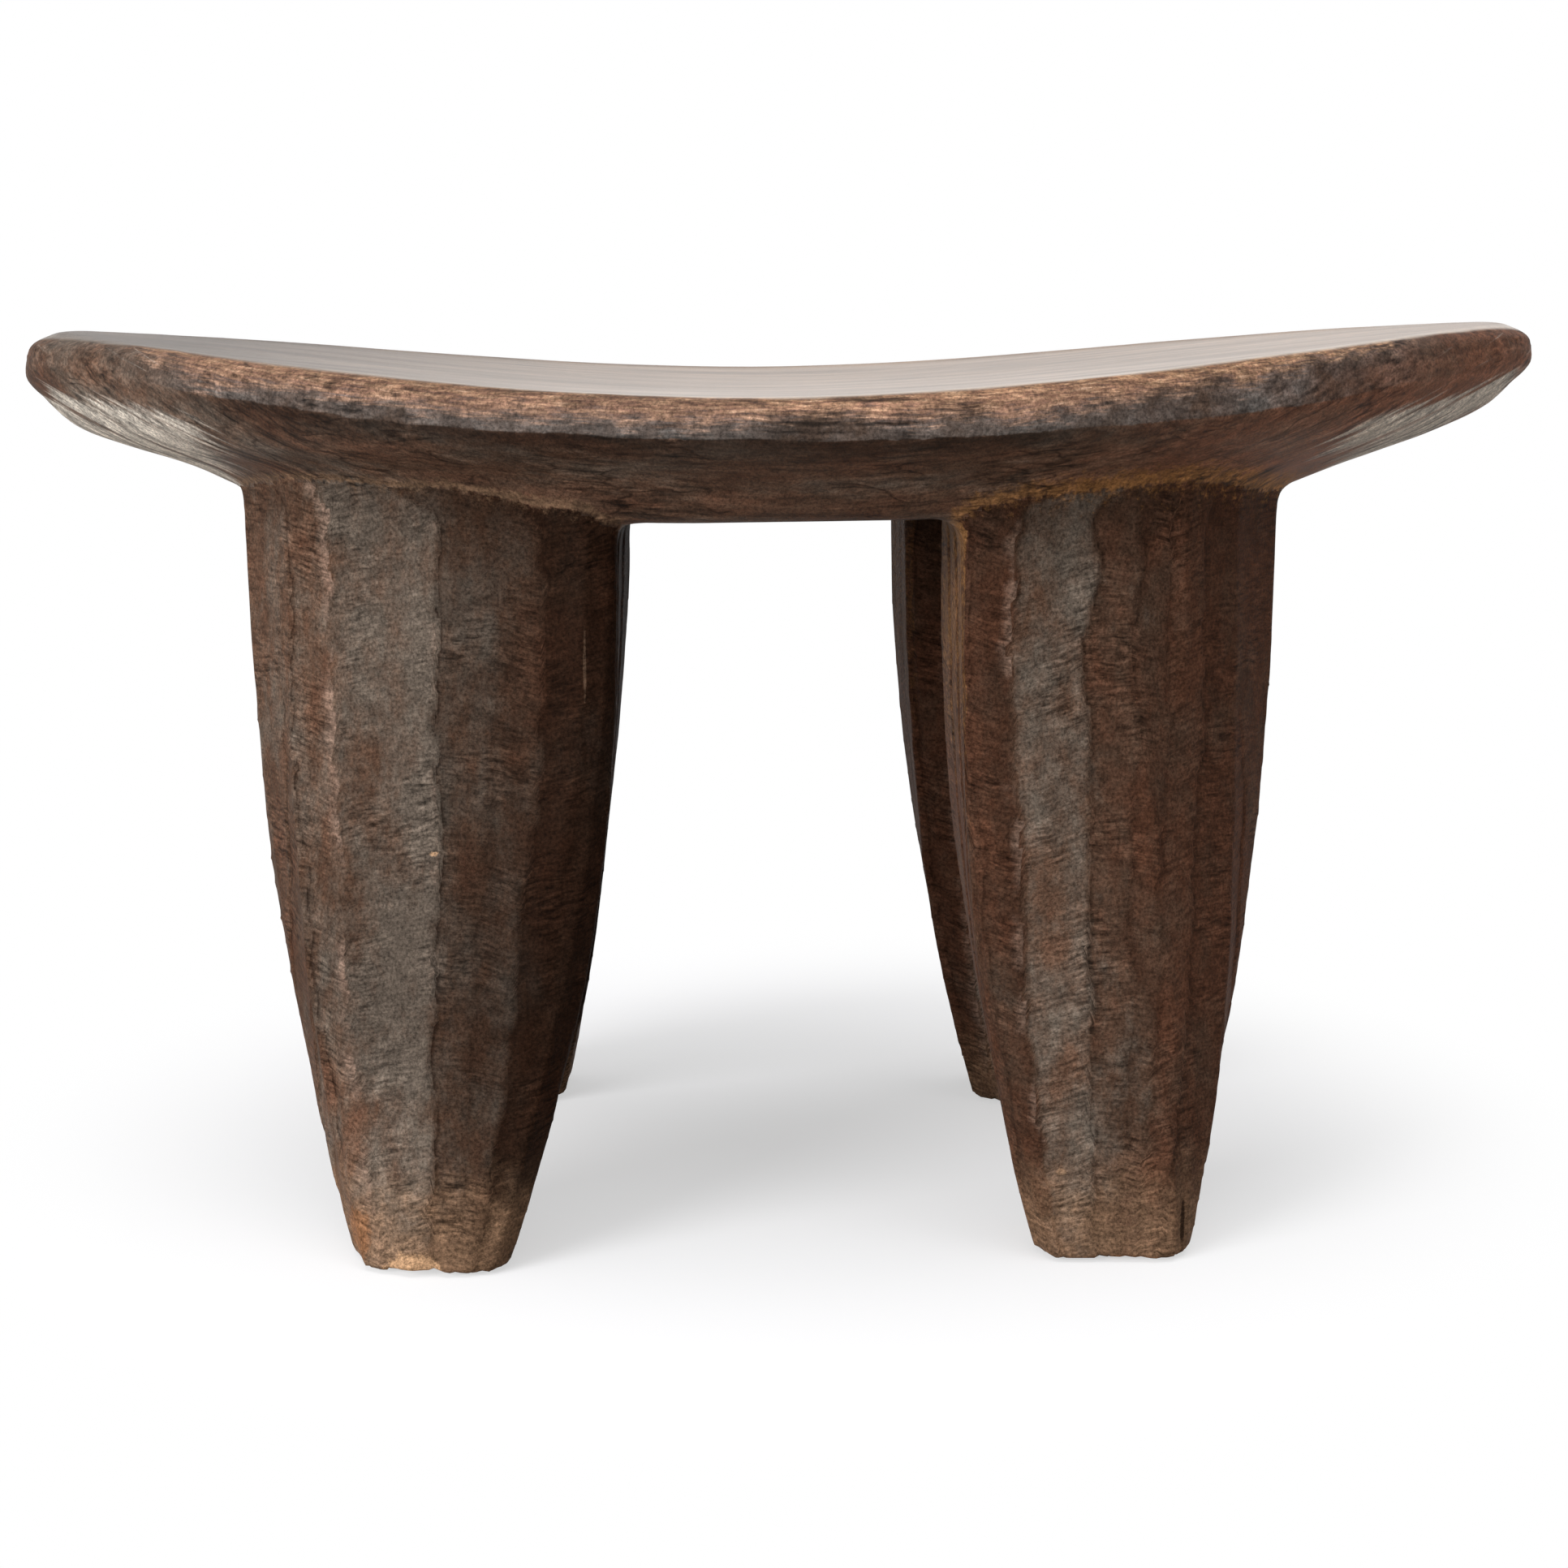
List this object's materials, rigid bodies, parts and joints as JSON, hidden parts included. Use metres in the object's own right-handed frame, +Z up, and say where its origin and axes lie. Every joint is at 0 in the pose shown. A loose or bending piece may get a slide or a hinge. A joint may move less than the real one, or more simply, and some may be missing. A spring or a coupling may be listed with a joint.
{
  "type": "stool",
  "caption": "Low hardwood stool with an oval dished seat, upswept at both tips, on stout tapering legs with flat soles.",
  "frame": {"origin": "on the floor under the middle of the seat", "axes": "+X along the seat towards its higher tip, +Y across it away from the viewer, +Z up"},
  "size_m": [0.52, 0.292, 0.3029],
  "materials": {
    "hardwood": "hand-carved, oiled and worn dark by handling"
  },
  "bodies": {
    "root": {"seat": "hardwood", "leg_front_left": "hardwood", "leg_front_right": "hardwood", "leg_back_left": "hardwood", "leg_back_right": "hardwood"}
  },
  "joints": []
}
